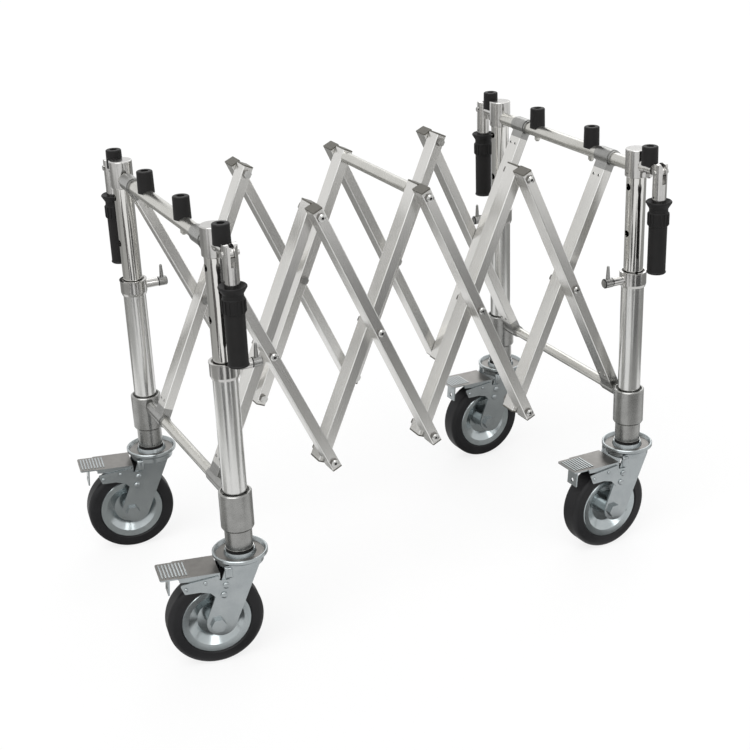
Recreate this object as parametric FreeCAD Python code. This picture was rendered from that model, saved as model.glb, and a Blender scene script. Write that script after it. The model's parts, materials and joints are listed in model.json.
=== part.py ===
import FreeCAD, Part
import math
import os
from FreeCAD import Vector

os.makedirs("parts", exist_ok=True)

# A folding church truck for a coffin, in millimetres.
# X runs along the truck, the front end at -X. Y runs across it, the left side at -Y. Z is up.
# The origin is on the floor, under the middle of the footprint.

# Overall layout
leg_spread = 766.0          # leg axis to leg axis along the truck, part open as it stands
leg_gauge = 442.0           # leg axis to leg axis across the truck
bottom_height = 285.0       # axis of the bottom cross tubes and bottom pivots
fold_height = 426.0         # bottom pivots up to top pivots
cell_count = 4              # crossings along each side

# Clearances
cut_overrun = 5.0           # how far a cutting tool passes the faces it cuts
running_gap = 0.05          # radial play of a pin or shaft in its bore
seat_gap = 0.05             # play between fixed pieces that nest
sliding_gap = 0.4           # radial play of the telescopes and slide collars
touch_gap = 0.3             # least air between pieces that move past each other

# Lattice bars
bar_depth = 33.0            # across the truck
bar_width = 18.0            # in the plane of the lattice
bar_wall = 1.6
bar_corner = 1.5
bar_end = 14.0              # bar left beyond a pivot, cap included
bar_layer_gap = 1.0         # between the outer and the inner bars
cap_thickness = 2.5
bolt_radius = 4.0
bolt_head_across = 13.0
bolt_head_height = 3.8
bolt_dome_height = 1.2
bolt_nut_height = 6.5
bolt_collar_gap = 2.5       # bolt head to slide collar, seen along the truck

# Cross tubes
top_tube_radius = 11.5
bottom_tube_radius = 9.0
middle_tube_radius = 10.0
cross_tube_wall = 2.0
middle_tube_wall = 1.5

# Sleeves that carry the end bars on the cross tubes
top_sleeve_wall = 3.0
bottom_sleeve_wall = 2.4
sleeve_neck = 24.0          # pivot axis to the start of the bar
sleeve_spigot = 20.0        # length that plugs into the bar
sleeve_side = 1.5           # sleeve past the side of its bar
sleeve_ring_length = 5.0
sleeve_ring_step = 1.2      # how much slimmer the end rings are
top_sleeve_gap = 6.0        # sleeve ring to leg head
bottom_sleeve_gap = 1.0     # sleeve ring to slide collar

# Legs
upper_tube_radius = 17.0
upper_tube_wall = 2.0
leg_overlap = 160.0         # upper tube inside the lower one
lower_tube_wall = 2.6
index_pitch = 83.0          # between the holes in the upper tubes
index_hole_radius = 6.0
index_holes_above = 2       # holes above the one at the clamp
index_holes_below = 1
foot_wall = 2.4             # ferrule round the foot of the lower tube
foot_height = 38.0
slide_collar_wall = 3.6     # of the skirt that passes over the foot
slide_collar_above = 16.5   # collar above the bottom tube's axis
slide_collar_below = 49.0
slide_collar_edge = 1.5
slide_skirt_edge = 3.0
slide_mouth_depth = 5.0     # from the collar's top down to the bush that bears on the leg
slide_bush_below = 11.0     # bush below the bottom tube's axis

# Clamp rings and levers
ring_height = 498.0         # lower edge of the clamp rings
ring_length = 28.0
ring_wall = 3.4
ring_taper = 5.0
ring_lip = 0.9
ring_lip_height = 2.4
ring_rise = 6.0             # ring above the end of the lower tube
clamp_rise = 14.0           # clamp screw above the ring's lower edge
boss_radius = 8.0
boss_length = 21.0          # from the ring's side
clamp_screw_radius = 4.0
lever_hub_radius = 8.5
lever_hub_length = 17.0
lever_hub_edge = 1.5
lever_rod_radius = 4.2
lever_tip_radius = 2.4
lever_rod_length = 29.0

# Leg heads
head_wall = 3.0
head_below = 16.0           # head below the top tube's axis
head_above = 32.0
head_cap = 7.0
head_top_edge = 1.8
head_low_edge = 1.5
head_screw_radius = 2.0
head_screw_drop = 8.0
arm_rise = 5.0              # arm above the top tube's axis
arm_radius = 9.0
arm_root_radius = 11.0
arm_root_length = 9.0
arm_fork_gap = 1.5
tongue_thickness = 6.5
tongue_radius = 8.0

# Rubber bumpers and their screws
bumper_base_radius = 14.2
bumper_top_radius = 13.6
bumper_rise = 43.0          # top of the bumpers above the top tube's axis
bumper_skirt_rise = 6.0
bumper_edge = 2.2
bumper_saddle_gap = 0.1
bumper_recess_radius = 6.5
bumper_recess_depth = 10.0
bumper_head_gap = 0.3       # bumper to leg head
bumper_sleeve_gap = 11.5    # bumper to the nearest sleeve
bumper_screw_radius = 3.0
bumper_screw_head_radius = 4.2
bumper_screw_head_height = 3.0
bumper_nut_across = 10.0
bumper_nut_height = 5.0
bumper_nut_dome = 3.0

# Lift handles
handle_tube_radius = 12.0
handle_tube_wall = 2.5
fork_end_radius = 15.0      # rounded end of the fork about the pin
fork_slot_depth = 19.0      # below the pin
fork_root = 8.0             # solid between the slot and the tube's bore
fork_side_gap = 0.5         # each side of the tongue
fork_bumper_gap = 0.2
handle_pin_radius = 3.0
handle_pin_head_radius = 4.5
handle_pin_head_height = 3.0
handle_pin_seat = 1.0
handle_hole_radius = 1.8
handle_hole_drop = 42.0

# Rubber grips, measured down from the flange's top
grip_start = 49.0           # below the pin
grip_length = 127.0
grip_flange_wall = 10.0     # flange, neck, step, body and lip stand this far out from the tube
grip_neck_wall = 4.0
grip_step_wall = 5.5
grip_body_wall = 3.7
grip_lip_wall = 4.6
grip_flange_height = 3.0
grip_cup_depth = 5.0
grip_neck_drop = 13.0
grip_step_drop = 19.0
grip_step_end = 42.0
grip_lip_height = 4.0
grip_end_thickness = 4.0
grip_edge = 1.4

# Casters, made about their swivel axis and trailing along -X
wheel_radius = 80.0
tyre_width = 40.0
tyre_shoulder = 9.0
tyre_bead = 2.0
tyre_seat_radius = 58.5
rim_wall = 2.4
rim_edge_inset = 1.0        # rim's lip behind the tyre's side
rim_lip = 1.5
rim_ring_width = 12.0        # sloping outer ring of the pressed disc
rim_ring_fall = 2.0
rim_step_width = 16.0       # conical band down to the web
rim_web_inset = 12.5         # web behind the tyre's side
hub_radius = 15.0
hub_side_gap = 0.5          # hub to fork plate
axle_radius = 7.0
axle_head_across = 22.0
axle_head_height = 7.0
caster_trail = 51.0
front_caster_turn = -9.0    # degrees about Z, as the casters stand
rear_caster_turn = 2.5
fork_plate_thickness = 3.5
fork_plate_gap = 6.5        # tyre to fork plate
fork_foot_radius = 25.0
fork_foot_lead = 6.5       # foot's centre ahead of the axle
fork_foot_rise = 3.0
fork_top_lead = 24.0        # plate ahead of the swivel axis at the crown
fork_top_trail = 33.0
crown_clearance = 16.0      # tyre to crown
crown_thickness = 8.0
crown_radius = 38.0
dish_flare = 7.5            # dish rim past the crown
dish_flare_rise = 6.0
dish_height = 11.5          # rim above the crown
dish_lip = 4.0
dish_edge = 1.2
dish_groove_depth = 5.5
dish_groove_slope = 2.5
dish_boss_rise = 12.5
dish_boss_margin = 1.5      # boss past the seal
seal_margin = 0.6           # seal past the foot
seal_thickness = 5.0
stem_radius = 10.0
stem_nut_margin = 4.0
stem_nut_height = 7.0
stem_plug_length = 30.0

# Brake bracket and pedal: reaches run back from the swivel axis, rises up from the top of the tyre
bracket_thickness = 2.4
bracket_fork_gap = 0.1
bracket_root = 25.0
bracket_tip = 107.0
bracket_rise = 10.0
bracket_depth = 50.0
bracket_corner = 3.0
# Places along and down the bracket: a lug laps the fork, and the lower edge sweeps up in an arch behind it
bracket_shares = ((0.0, 0.18), (0.1, 0.88), (0.27, 0.84), (0.42, 0.56), (0.62, 0.46),
                  (0.92, 0.44), (1.0, 0.08), (0.22, 0.0), (0.22, 0.16))
pedal_sheet = 2.5
pedal_crown_gap = 3.0       # crown to the pedal's root
pedal_reach = 137.0
pedal_rise = 12.0           # underside at the root
pedal_tip_rise = 16.0
pedal_tip_gap = 1.5         # bracket to the ribbed tip
pedal_tip_width = 54.0
pedal_tip_corner = 4.0
pedal_side_gap = 0.6
pedal_flange_drop = 11.0    # turned-down sides at the root
pedal_flange_end_drop = 5.0
pedal_flange_corner = 3.0
pedal_pin_inset = 5.5       # pin behind the pedal's root
pedal_pin_rise = 5.0
pedal_pin_radius = 2.5
pedal_tab_reach = 119.0
pedal_tab_foot_reach = 122.0
pedal_tab_drop = 20.0       # foot below the top of the tyre
pedal_tab_width = 26.0
pedal_tab_hole_radius = 4.0
pedal_tab_hole_rise = 10.0  # above the tab's foot
pedal_rib_count = 8
pedal_rib_width = 2.4
pedal_rib_height = 1.0
pedal_rib_side = 6.0        # rib's end to the side of the tip
pedal_rib_pitch = 5.5
pedal_rib_start = 4.0       # first rib to the end of the pedal

# Heights and places that follow from the sizes above
top_height = bottom_height + fold_height
cell = leg_spread / cell_count
bar_angle = math.degrees(math.atan2(fold_height, cell))
bar_length = math.hypot(fold_height, cell)
dish_radius = crown_radius + dish_flare
middle_x = (pedal_reach - dish_radius) / 2
front_x = middle_x - leg_spread / 2
rear_x = middle_x + leg_spread / 2
leg_y = leg_gauge / 2
lower_tube_bore = upper_tube_radius + sliding_gap
lower_tube_radius = lower_tube_bore + lower_tube_wall
foot_radius = lower_tube_radius + foot_wall
seal_radius = foot_radius + seal_margin
slide_bush_bore = lower_tube_radius + sliding_gap
slide_collar_bore = seal_radius + sliding_gap
slide_collar_radius = slide_collar_bore + slide_collar_wall
outer_face = leg_y - slide_collar_radius - bolt_collar_gap - bolt_dome_height - bolt_head_height
outer_layer = outer_face - bar_depth / 2
inner_layer = outer_layer - bar_depth - bar_layer_gap
inner_face = inner_layer - bar_depth / 2
head_radius = upper_tube_radius + head_wall
arm_bumper_offset = head_radius + bumper_head_gap + bumper_base_radius
handle_offset = arm_bumper_offset + bumper_base_radius + fork_bumper_gap + fork_end_radius
handle_tube_length = grip_start + grip_length - grip_end_thickness
inner_bumper_y = inner_face - sleeve_side - sleeve_ring_length - bumper_sleeve_gap - bumper_base_radius
ring_bore = lower_tube_radius + seat_gap
ring_radius = ring_bore + ring_wall
clamp_height = ring_height + clamp_rise
boss_reach = ring_radius + boss_length
lower_tube_top = ring_height + ring_length - ring_rise
tyre_top = 2 * wheel_radius
crown_bottom = tyre_top + crown_clearance
crown_top = crown_bottom + crown_thickness
leg_base = crown_top + dish_boss_rise + touch_gap + seal_thickness
fork_inside = tyre_width / 2 + fork_plate_gap
fork_outside = fork_inside + fork_plate_thickness
bracket_inside = fork_outside + bracket_fork_gap
bracket_outside = bracket_inside + bracket_thickness
pedal_root = crown_radius + pedal_crown_gap
pedal_half_width = bracket_inside - pedal_side_gap
pedal_pin = Vector(-pedal_root - pedal_pin_inset, 0, tyre_top + pedal_pin_rise)

origin = Vector(0, 0, 0)
along = Vector(1, 0, 0)
across = Vector(0, 1, 0)
up = Vector(0, 0, 1)


# Basic shapes

def rod(radius, start, end):
    step = end - start
    return Part.makeCylinder(radius, step.Length, start, step)


def cone(first_radius, last_radius, start, end):
    step = end - start
    return Part.makeCone(first_radius, last_radius, step.Length, start, step)


def pipe(radius, bore, start, end):
    overrun = Vector(end - start).normalize() * cut_overrun
    return rod(radius, start, end).cut(rod(bore, start - overrun, end + overrun))


def block(first, last):
    """A box between two opposite corners, given in any order."""
    low = Vector(min(first.x, last.x), min(first.y, last.y), min(first.z, last.z))
    return Part.makeBox(abs(last.x - first.x), abs(last.y - first.y), abs(last.z - first.z), low)


def hexagon(across_flats, start, end):
    step = end - start
    circle = across_flats / math.sqrt(3)
    corners = []
    for index in range(7):
        turn = math.radians(60 * index)
        corners.append(Vector(circle * math.cos(turn), circle * math.sin(turn), 0))
    solid = Part.Face(Part.makePolygon(corners)).extrude(up * step.Length)
    solid.Placement = FreeCAD.Placement(start, FreeCAD.Rotation(up, step))
    return solid


def outline(corners):
    """A closed face in the XZ plane. A corner's third value, if any, is the radius that rounds it."""
    spots = [Vector(corner[0], 0, corner[1]) for corner in corners]
    entries = []
    exits = []
    edges = []
    for index, corner in enumerate(corners):
        here = spots[index]
        back = (spots[index - 1] - here).normalize()
        ahead = (spots[(index + 1) % len(spots)] - here).normalize()
        radius = corner[2] if len(corner) > 2 else 0
        half = back.getAngle(ahead) / 2
        entries.append(here + back * (radius / math.tan(half)))
        exits.append(here + ahead * (radius / math.tan(half)))
        if radius:
            inward = (back + ahead).normalize()
            middle = here + inward * (radius / math.sin(half) - radius)
            edges.append(Part.Arc(entries[index], middle, exits[index]).toShape())
    for index in range(len(spots)):
        edges.append(Part.LineSegment(exits[index - 1], entries[index]).toShape())
    return Part.Face(Part.Wire(Part.__sortEdges__(edges)))


def turned(corners, base=origin):
    """A solid of revolution about Z through base, from corners of radius and height."""
    solid = outline(corners).revolve(origin, up, 360)
    solid.translate(base)
    return solid


def plate(corners, inside, outside):
    """A flat plate with an outline in the XZ plane, between two places across the truck."""
    solid = outline(corners).extrude(across * (outside - inside))
    solid.translate(across * inside)
    return solid


def fused(shapes):
    return shapes[0].multiFuse(shapes[1:]).removeSplitter()


def both_sides(shape):
    return [shape, shape.mirror(origin, across)]


def write(node, shapes):
    Part.makeCompound(shapes).exportStep("parts/" + node + ".step")


# Lattice bars: each is drawn along X from its first pivot, then swung to its slope

def bar_block(first, last, layer, inset, corner):
    """A solid bar between two places along X, drawn in from the bar's section by inset."""
    half = Vector(0, bar_depth / 2 - inset, bar_width / 2 - inset)
    solid = block(Vector(first, layer, 0) - half, Vector(last, layer, 0) + half)
    if corner:
        long_edges = []
        for edge in solid.Edges:
            if edge.BoundBox.XLength > edge.BoundBox.DiagonalLength / 2:
                long_edges.append(edge)
        solid = solid.makeFillet(corner, long_edges)
    return solid


def bar_tube(first, last, layer, pivots):
    tube = bar_block(first, last, layer, 0, bar_corner)
    tube = tube.cut(bar_block(first - cut_overrun, last + cut_overrun, layer, bar_wall, 0))
    side = across * (bar_depth / 2 + cut_overrun)
    for place in pivots:
        centre = Vector(place, layer, 0)
        tube = tube.cut(rod(bolt_radius + running_gap, centre - side, centre + side))
    return tube


def end_cap(end, outward, layer):
    """A plastic cap on a bar's end, with a plug that stops short of the pivot bolt."""
    inner = end - outward * cap_thickness
    plug_depth = bar_end - cap_thickness - bolt_radius - touch_gap
    return fused([bar_block(end, inner, layer, 0, bar_corner),
                  bar_block(inner, inner - outward * plug_depth, layer, bar_wall + seat_gap, 0)])


def end_sleeve(place, outward, layer, tube_radius, wall, low, high):
    """A sleeve round a cross tube at place, with a neck and a spigot that plugs into the bar."""
    axis = along * place
    bore = tube_radius + running_gap
    ring_low = axis + across * (low - sleeve_ring_length)
    ring_high = axis + across * (high + sleeve_ring_length)
    overrun = across * cut_overrun
    neck_end = place - outward * sleeve_neck
    body = fused([rod(bore + wall, axis + across * low, axis + across * high),
                  rod(bore + wall - sleeve_ring_step, ring_low, ring_high),
                  bar_block(place, neck_end, layer, 0, bar_corner),
                  bar_block(place, neck_end - outward * sleeve_spigot, layer, bar_wall + seat_gap, 0)])
    return body.cut(rod(bore, ring_low - overrun, ring_high + overrun))


def lattice_point(column, height):
    return Vector(front_x + cell * column, 0, height)


def write_bars(node, layer, pivot, slope, first_sleeve, last_sleeve):
    """A left and a right bar with three pivots, ended by sleeves where they are given, else by caps."""
    first = sleeve_neck if first_sleeve else cap_thickness - bar_end
    last = bar_length - sleeve_neck if last_sleeve else bar_length + bar_end - cap_thickness
    pivots = [bar_length / 2]
    if not first_sleeve:
        pivots.append(0)
    if not last_sleeve:
        pivots.append(bar_length)
    pieces = [bar_tube(first, last, layer, pivots),
              first_sleeve or end_cap(-bar_end, -1, layer),
              last_sleeve or end_cap(bar_length + bar_end, 1, layer)]
    shapes = []
    for piece in pieces:
        piece.rotate(origin, across, slope)
        piece.translate(pivot)
        shapes += both_sides(piece)
    write(node, shapes)


side_reach = bar_depth / 2 + sleeve_side
head_side = leg_y - head_radius - top_sleeve_gap - sleeve_ring_length
collar_side = leg_y - slide_collar_radius - bottom_sleeve_gap - sleeve_ring_length
outer_top_sleeve = end_sleeve(0, -1, outer_layer, top_tube_radius, top_sleeve_wall,
                              outer_layer - side_reach, head_side)
outer_bottom_sleeve = end_sleeve(bar_length, 1, outer_layer, bottom_tube_radius, bottom_sleeve_wall,
                                 outer_layer - side_reach, collar_side)
inner_bottom_sleeve = end_sleeve(0, -1, inner_layer, bottom_tube_radius, bottom_sleeve_wall,
                                 inner_layer - side_reach, collar_side)
inner_top_sleeve = end_sleeve(bar_length, 1, inner_layer, top_tube_radius, top_sleeve_wall,
                              inner_layer - side_reach, inner_layer + side_reach)

# Outer bars fall towards the rear from a top pivot, inner bars rise from a bottom one
for column in range(cell_count):
    is_first = column == 0
    is_last = column == cell_count - 1
    write_bars("outer_bars_" + str(column + 1), outer_layer, lattice_point(column, top_height), bar_angle,
               outer_top_sleeve if is_first else None, outer_bottom_sleeve if is_last else None)
    write_bars("inner_bars_" + str(column + 1), inner_layer, lattice_point(column, bottom_height), -bar_angle,
               inner_bottom_sleeve if is_first else None, inner_top_sleeve if is_last else None)


# Pivot bolts and the middle cross tube

def pivot_bolt(place):
    outside = place + across * outer_face
    inside = place + across * inner_face
    head_end = outside + across * bolt_head_height
    return fused([rod(bolt_radius, inside, outside),
                  hexagon(bolt_head_across, outside, head_end),
                  cone(bolt_head_across / 2, bolt_radius, head_end, head_end + across * bolt_dome_height),
                  hexagon(bolt_head_across, inside - across * bolt_nut_height, inside)])


# Each outer bar carries the bolts at its own crossing, top and bottom
for column in range(cell_count):
    places = [lattice_point(column + 1 / 2, bottom_height + fold_height / 2)]
    if column > 0:
        places.append(lattice_point(column, top_height))
    if column < cell_count - 1:
        places.append(lattice_point(column + 1, bottom_height))
    bolts = []
    for place in places:
        bolts += both_sides(pivot_bolt(place))
    write("pivot_bolts_" + str(column + 1), bolts)

# The middle tube stands between the inner bars, with the nuts of the middle bolts inside its ends
middle_place = lattice_point(cell_count // 2, top_height)
write("middle_cross_tube", [pipe(middle_tube_radius, middle_tube_radius - middle_tube_wall,
                                 middle_place - across * inner_face, middle_place + across * inner_face)])


# End frames: top tube, leg heads, upper leg tubes and bumpers

def bumper(place, rise, saddle):
    """A tapered rubber bumper astride a saddle, with a recess in its top for the screw."""
    hole = bumper_screw_radius + seat_gap
    floor = rise - bumper_recess_depth
    body = turned([(hole, bumper_skirt_rise), (bumper_base_radius, bumper_skirt_rise),
                   (bumper_top_radius, rise, bumper_edge), (bumper_recess_radius, rise),
                   (bumper_recess_radius, floor), (hole, floor)], place)
    return body.cut(saddle)


def bumper_screw(place, rise, tube_radius):
    """The screw from a bumper's recess down through the tube to a domed nut."""
    head = place + up * (rise - bumper_recess_depth)
    nut_top = place - up * tube_radius
    nut_end = nut_top - up * bumper_nut_height
    return fused([rod(bumper_screw_head_radius, head, head + up * bumper_screw_head_height),
                  rod(bumper_screw_radius, nut_end, head),
                  hexagon(bumper_nut_across, nut_end, nut_top),
                  cone(bumper_nut_across / 2, bumper_screw_radius, nut_end, nut_end - up * bumper_nut_dome)])


def screw_way(place):
    reach = up * (bumper_rise + cut_overrun)
    return rod(bumper_screw_radius + seat_gap, place - reach, place + reach)


def head_arm(axis, reach, clearance):
    """The arm of a leg head with its tapered root, out to a reach from the leg's axis."""
    start = axis + across * (head_radius - head_wall / 2)
    root_end = start + across * arm_root_length
    radius = arm_radius + clearance
    return fused([cone(arm_root_radius + clearance, radius, start, root_end),
                  rod(radius, start, axis + across * reach)])


def leg_head(axis, inboard):
    """The cast head on a leg: a capped collar, an arm outwards and a tongue for the lift handle."""
    arm_axis = axis + up * arm_rise
    arm_reach = handle_offset - fork_end_radius - arm_fork_gap
    tongue_start = arm_axis + across * (arm_reach - arm_radius)
    pin = arm_axis + across * handle_offset
    half = Vector(tongue_thickness / 2, 0, tongue_radius)
    side = along * (tongue_thickness / 2)
    body = fused([turned([(0, -head_below), (head_radius - head_low_edge, -head_below),
                          (head_radius, head_low_edge - head_below),
                          (head_radius, head_above, head_top_edge), (0, head_above)], axis),
                  head_arm(arm_axis, arm_reach, 0),
                  block(tongue_start - half, pin + half),
                  rod(tongue_radius, pin - side, pin + side)])
    pin_way = along * (tongue_thickness / 2 + cut_overrun)
    body = body.cut(rod(handle_pin_radius + running_gap, pin - pin_way, pin + pin_way))
    socket_low = axis - up * (head_below + cut_overrun)
    body = body.cut(rod(upper_tube_radius + seat_gap, socket_low, axis + up * (head_above - head_cap)))
    screw = axis - up * head_screw_drop
    body = body.cut(rod(head_screw_radius, screw, screw + inboard * (head_radius + cut_overrun)))
    return body.cut(screw_way(axis + across * arm_bumper_offset))


def upper_tube(axis):
    """A chromed tube, cross-drilled for the height positions."""
    top = axis + up * (head_above - head_cap)
    low = Vector(axis.x, axis.y, lower_tube_top - leg_overlap)
    tube = pipe(upper_tube_radius, upper_tube_radius - upper_tube_wall, low, top)
    reach = along * (upper_tube_radius + cut_overrun)
    for step in range(-index_holes_below, index_holes_above + 1):
        place = Vector(axis.x, axis.y, clamp_height + index_pitch * step)
        tube = tube.cut(rod(index_hole_radius, place - reach, place + reach))
    return tube


def end_frame(name, end_x, inboard):
    centre = Vector(end_x, 0, top_height)
    leg_axis = centre + across * leg_y
    tube_place = centre + across * inner_bumper_y
    arm_axis = leg_axis + up * arm_rise
    arm_place = arm_axis + across * arm_bumper_offset
    arm_bumper_rise = bumper_rise - arm_rise
    half_saddle = across * (bumper_base_radius + cut_overrun)
    saddle_radius = top_tube_radius + bumper_saddle_gap
    tube_saddle = rod(saddle_radius, tube_place - half_saddle, tube_place + half_saddle)
    arm_saddle = head_arm(arm_axis, handle_offset, bumper_saddle_gap)
    tube = pipe(top_tube_radius, top_tube_radius - cross_tube_wall, centre - across * leg_y, leg_axis)
    cope = up * (top_tube_radius + cut_overrun)
    for tool in both_sides(rod(head_radius + seat_gap, leg_axis - cope, leg_axis + cope)):
        tube = tube.cut(tool)
    for tool in both_sides(screw_way(tube_place)):
        tube = tube.cut(tool)
    write(name + "_top_tube", [tube] + both_sides(bumper_screw(tube_place, bumper_rise, top_tube_radius)))
    write(name + "_leg_heads", both_sides(leg_head(leg_axis, inboard))
          + both_sides(bumper_screw(arm_place, arm_bumper_rise, arm_radius)))
    write(name + "_upper_tubes", both_sides(upper_tube(leg_axis)))
    write(name + "_bumpers", both_sides(bumper(tube_place, bumper_rise, tube_saddle))
          + both_sides(bumper(arm_place, arm_bumper_rise, arm_saddle)))


# Bottom carriages: a cross tube welded between two collars that slide on the lower legs and over their feet

def carriage(name, end_x):
    centre = Vector(end_x, 0, bottom_height)
    weld = across * (leg_y - slide_collar_bore - slide_collar_wall / 2)
    bore_end = across * (leg_y - slide_collar_radius)
    bush_top = slide_collar_above - slide_mouth_depth
    collar = turned([(slide_collar_bore, -slide_collar_below),
                     (slide_collar_radius - slide_collar_wall / 2, -slide_collar_below),
                     (slide_collar_radius, slide_skirt_edge - slide_collar_below),
                     (slide_collar_radius, slide_collar_above - slide_collar_edge),
                     (slide_collar_radius - slide_collar_edge, slide_collar_above),
                     (slide_collar_bore, slide_collar_above), (slide_collar_bore, bush_top),
                     (slide_bush_bore, bush_top), (slide_bush_bore, -slide_bush_below),
                     (slide_collar_bore, -slide_bush_below)], centre + across * leg_y)
    weldment = fused([rod(bottom_tube_radius, centre - weld, centre + weld)] + both_sides(collar))
    bore = rod(bottom_tube_radius - cross_tube_wall, centre - bore_end, centre + bore_end)
    write(name + "_carriage", [weldment.cut(bore)])


# Lower legs: tube, foot, seal and caster stem, then clamp ring and lever

def lower_leg(leg, clamp_way):
    base = leg + up * leg_base
    tube = pipe(lower_tube_radius, lower_tube_bore, base, leg + up * lower_tube_top).cut(clamp_way)
    foot = pipe(foot_radius, lower_tube_radius + seat_gap, base, base + up * foot_height)
    seal = pipe(seal_radius, stem_radius + seat_gap, base - up * seal_thickness, base)
    plug_radius = lower_tube_bore - seat_gap
    nut_top = crown_bottom - touch_gap - leg_base
    nut_low = nut_top - stem_nut_height
    nut_radius = stem_radius + stem_nut_margin
    stem = turned([(0, nut_low), (nut_radius, nut_low), (nut_radius, nut_top), (stem_radius, nut_top),
                   (stem_radius, 0), (plug_radius, 0), (plug_radius, stem_plug_length),
                   (0, stem_plug_length)], base)
    return [tube, foot, seal, stem]


def clamp_ring(leg, inboard, clamp_way):
    """A sleeve on the end of the lower tube, standing above it, with a boss for the clamp screw."""
    lip_radius = ring_radius + ring_lip
    lip_low = ring_length - ring_lip_height
    ring = turned([(ring_bore, 0), (ring_radius - ring_wall / 2, 0), (ring_radius, ring_taper),
                   (ring_radius, lip_low), (lip_radius, lip_low + ring_lip), (lip_radius, ring_length),
                   (ring_bore, ring_length)], leg + up * ring_height)
    axis = leg + up * clamp_height
    boss = rod(boss_radius, axis + inboard * (ring_bore + ring_wall / 2), axis + inboard * boss_reach)
    return ring.fuse(boss).cut(clamp_way)


def clamp_lever(leg, inboard):
    """The lever's hub and screw, the screw drawn back just clear of the upper tube."""
    axis = leg + up * clamp_height
    hub_start = axis + inboard * (boss_reach + touch_gap)
    hub_end = hub_start + inboard * lever_hub_length
    hub = rod(lever_hub_radius, hub_start, hub_end)
    hub = hub.makeChamfer(lever_hub_edge, [edge for edge in hub.Edges if edge.Closed])
    rod_start = (hub_start + hub_end) / 2
    rod_end = rod_start + up * lever_rod_length
    return fused([hub, rod(clamp_screw_radius, axis + inboard * (upper_tube_radius + touch_gap), rod_start),
                  cone(lever_rod_radius, lever_tip_radius, rod_start, rod_end),
                  Part.makeSphere(lever_tip_radius, rod_end)])


# Lift handles: a forked tube on a pin, with a rubber grip

def lift_handle(pin):
    low = pin - up * handle_tube_length
    reach = along * (handle_tube_radius + cut_overrun)
    margin = Vector(handle_tube_radius + cut_overrun, handle_tube_radius + cut_overrun, 0)
    rounding = rod(fork_end_radius, pin - reach, pin + reach).fuse(block(low - margin, pin + margin))
    body = rod(handle_tube_radius, low, pin + up * fork_end_radius).common(rounding)
    slot = Vector(tongue_thickness / 2 + fork_side_gap, handle_tube_radius + cut_overrun, 0)
    slot_low = pin - up * fork_slot_depth
    body = body.cut(block(slot_low - slot, pin + up * (fork_end_radius + cut_overrun) + slot))
    bore = handle_tube_radius - handle_tube_wall
    body = body.cut(rod(bore, low - up * cut_overrun, slot_low - up * fork_root))
    body = body.cut(rod(handle_pin_radius + seat_gap, pin - reach, pin + reach))
    seat = handle_tube_radius - handle_pin_seat
    solids = [rod(handle_pin_radius, pin - along * seat, pin + along * seat)]
    for outward in (along, -along):
        head_start = pin + outward * seat
        head_end = head_start + outward * handle_pin_head_height
        body = body.cut(rod(handle_pin_head_radius + seat_gap, head_start, head_end))
        solids.append(rod(handle_pin_head_radius, head_start, head_end))
    hole = pin - up * handle_hole_drop
    return [body.cut(rod(handle_hole_radius, hole, hole - reach)), fused(solids)]


def grip(pin):
    """A rubber grip: cupped flange, waisted neck, stepped body, rolled lip and closed end."""
    tube = handle_tube_radius
    bore = tube + seat_gap
    flange = tube + grip_flange_wall
    neck = tube + grip_neck_wall
    step = tube + grip_step_wall
    body = tube + grip_body_wall
    lip = tube + grip_lip_wall
    floor = grip_end_thickness - seat_gap - grip_length
    lip_top = grip_lip_height - grip_length
    return turned([(bore, -grip_cup_depth), (flange - grip_edge, 0), (flange, -grip_edge),
                   (flange, -grip_flange_height), (neck, -grip_neck_drop), (neck, -grip_step_drop),
                   (step - grip_edge, -grip_step_drop), (step, -grip_step_drop - grip_edge),
                   (step, -grip_step_end), (body, -grip_step_end - grip_edge), (body, lip_top),
                   (lip, lip_top - grip_edge), (lip, grip_edge - grip_length),
                   (lip - grip_edge, -grip_length), (0, -grip_length), (0, floor), (bore, floor)],
                  pin - up * grip_start)


# Wheels, turned about Z and then laid on the axle

def on_axle(solid):
    solid.Placement = FreeCAD.Placement(Vector(-caster_trail, 0, wheel_radius), FreeCAD.Rotation(up, across))
    return solid


def wheel_rim():
    """Two pressed bowls back to back on a hub: a sloping outer ring, a conical band and a flat web."""
    bore = axle_radius + running_gap
    side = tyre_width / 2
    edge = side - rim_edge_inset
    lip = tyre_seat_radius - rim_lip
    step_outer = tyre_seat_radius - rim_ring_width
    step_inner = step_outer - rim_step_width
    ring = edge - rim_ring_fall
    web = side - rim_web_inset
    inner = tyre_seat_radius - rim_wall
    hub_side = fork_inside - hub_side_gap
    bowl = turned([(bore, 0), (hub_radius, 0), (hub_radius, web - rim_wall), (step_inner, web - rim_wall),
                   (step_outer, ring - rim_wall), (inner, ring - rim_wall), (inner, 0), (tyre_seat_radius, 0),
                   (tyre_seat_radius, edge - rim_lip), (lip, edge), (step_outer, ring), (step_inner, web),
                   (hub_radius, web), (hub_radius, hub_side), (bore, hub_side)])
    return on_axle(fused([bowl, bowl.mirror(origin, up)]))


def tyre():
    side = tyre_width / 2
    bore = tyre_seat_radius + seat_gap
    return on_axle(turned([(bore, tyre_bead - side), (bore + tyre_bead, -side),
                           (wheel_radius, -side, tyre_shoulder), (wheel_radius, side, tyre_shoulder),
                           (bore + tyre_bead, side), (bore, side - tyre_bead)]))


# Caster forks with the swivel dish, axle bolt and brake bracket

def touch_point(start, centre, radius, turn):
    """Where a straight line from start meets a circle in the XZ plane, on the side that turn gives."""
    offset = start - centre
    heading = math.atan2(offset.z, offset.x) + turn * math.acos(radius / offset.Length)
    return centre + Vector(math.cos(heading), 0, math.sin(heading)) * radius


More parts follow.
